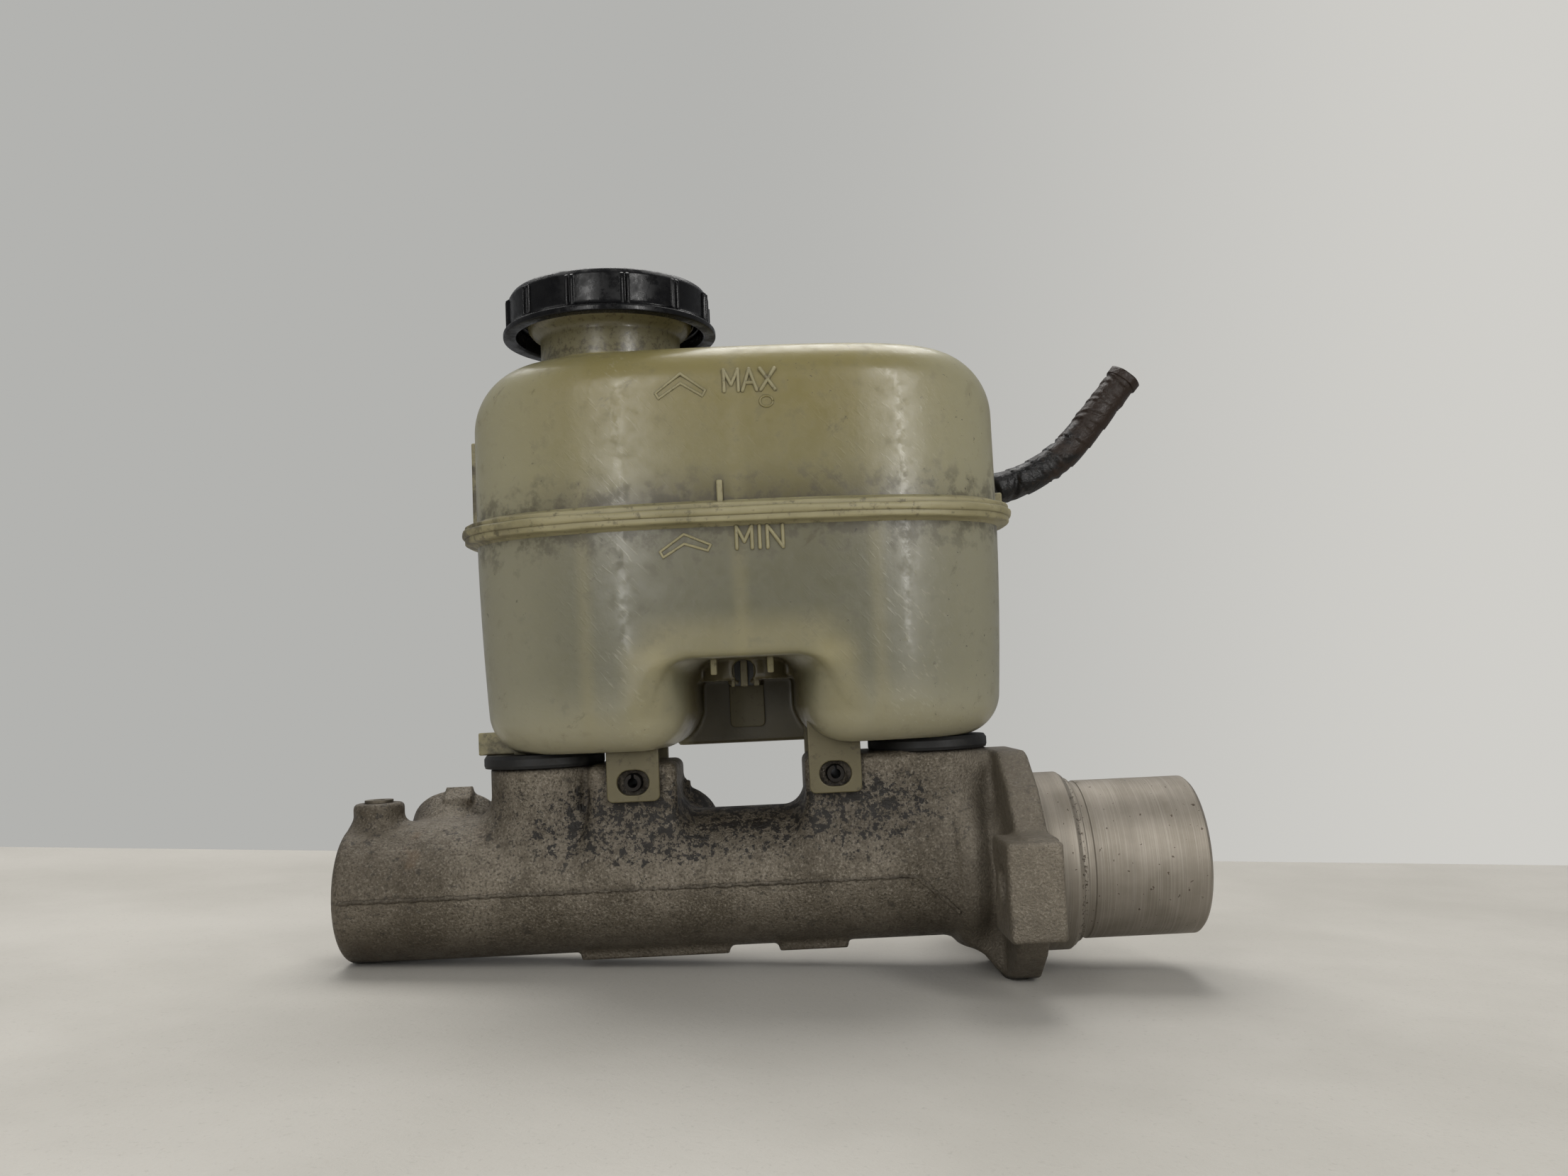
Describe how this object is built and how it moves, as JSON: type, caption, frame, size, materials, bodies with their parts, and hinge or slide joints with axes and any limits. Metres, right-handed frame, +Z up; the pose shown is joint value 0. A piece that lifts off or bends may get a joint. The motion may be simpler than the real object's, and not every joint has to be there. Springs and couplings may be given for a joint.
{
  "type": "brake master cylinder",
  "caption": "Tandem brake master cylinder: cast barrel with two-bolt flange and long spigot, translucent reservoir with screw cap, float sensor, two spring-loaded pistons.",
  "frame": {"origin": "on the bore axis, in the rear face of the mounting flange", "axes": "+X along the bore towards the booster, +Z up to the reservoir, +Y towards the outlet ports"},
  "size_m": [0.2711, 0.116, 0.217],
  "materials": {
    "casting": "rough sand cast skin, stained by brake fluid and road dirt; collar and spigot turned",
    "machined_aluminium": "turned and anodised",
    "brass": "turned",
    "steel": "zinc plated, dull",
    "spring_steel": "oiled spring wire",
    "reservoir_plastic": "translucent, yellowed, welded at the seam",
    "cap_plastic": "black, semi-gloss",
    "sensor_plastic": "black, matt",
    "rubber": "black, matt",
    "float_foam": "closed-cell foam",
    "magnet": "ferrite",
    "glass": "reed switch envelope",
    "harness_tape": "cloth and vinyl tape, wound in a spiral, creased",
    "wire": "insulated wire"
  },
  "bodies": {
    "housing": {"cylinder_body": "casting", "bleed_plug": "steel", "front_tube_seat": "brass", "rear_tube_seat": "brass", "reservoir_upper": "reservoir_plastic", "reservoir_lower": "reservoir_plastic", "front_grommet": "rubber", "rear_grommet": "rubber", "front_retaining_pin": "steel", "rear_retaining_pin": "steel", "sensor_housing": "sensor_plastic", "reed_switch": "glass", "sensor_terminals": "steel", "sensor_plug": "sensor_plastic", "harness_sleeve": "harness_tape", "harness_wires": "wire", "stop_washer": "steel", "snap_ring": "spring_steel"},
    "gasket": {"cap_gasket": "rubber"},
    "cap": {"filler_cap": "cap_plastic"},
    "float": {"level_float": "float_foam", "float_magnet": "magnet"},
    "secondary": {"secondary_piston": "machined_aluminium", "secondary_front_cup": "rubber", "secondary_middle_cup": "rubber", "secondary_rear_cup": "rubber", "secondary_spring_seat": "steel", "secondary_spring": "spring_steel", "primary_spring_cage": "steel"},
    "primary": {"primary_piston": "machined_aluminium", "primary_front_cup": "rubber", "primary_rear_cup": "rubber", "primary_spring_seat": "steel", "primary_spring": "spring_steel", "cage_screw": "steel"}
  },
  "joints": [
    {"name": "cap_rise", "type": "slide", "parent": "housing", "child": "gasket", "axis": [0, 0, 1], "range_m": [0, 0.01]},
    {"name": "cap_turn", "type": "hinge", "parent": "gasket", "child": "cap", "pos_m": [-0.1226, 0, 0.175], "axis": [0, 0, 1], "range_deg": [0, 720]},
    {"name": "secondary_stroke", "type": "slide", "parent": "housing", "child": "secondary", "axis": [-1, 0, 0], "range_m": [0, 0.017], "stiffness_N_per_m": 350, "springref_m": -0.1, "deforming": ["secondary_spring"]},
    {"name": "primary_stroke", "type": "slide", "parent": "secondary", "child": "primary", "axis": [-1, 0, 0], "range_m": [0, 0.017], "stiffness_N_per_m": 400, "springref_m": -0.1, "deforming": ["primary_spring"]},
    {"name": "float_travel", "type": "slide", "parent": "housing", "child": "float", "axis": [0, 0, 1], "range_m": [0, 0.028]}
  ],
  "couplings": [
    {"joint": "cap_rise", "follows": "cap_turn", "m_per_rad": 0.00079577},
    {"joint": "secondary_stroke", "follows": "primary_stroke", "ratio": 1}
  ]
}
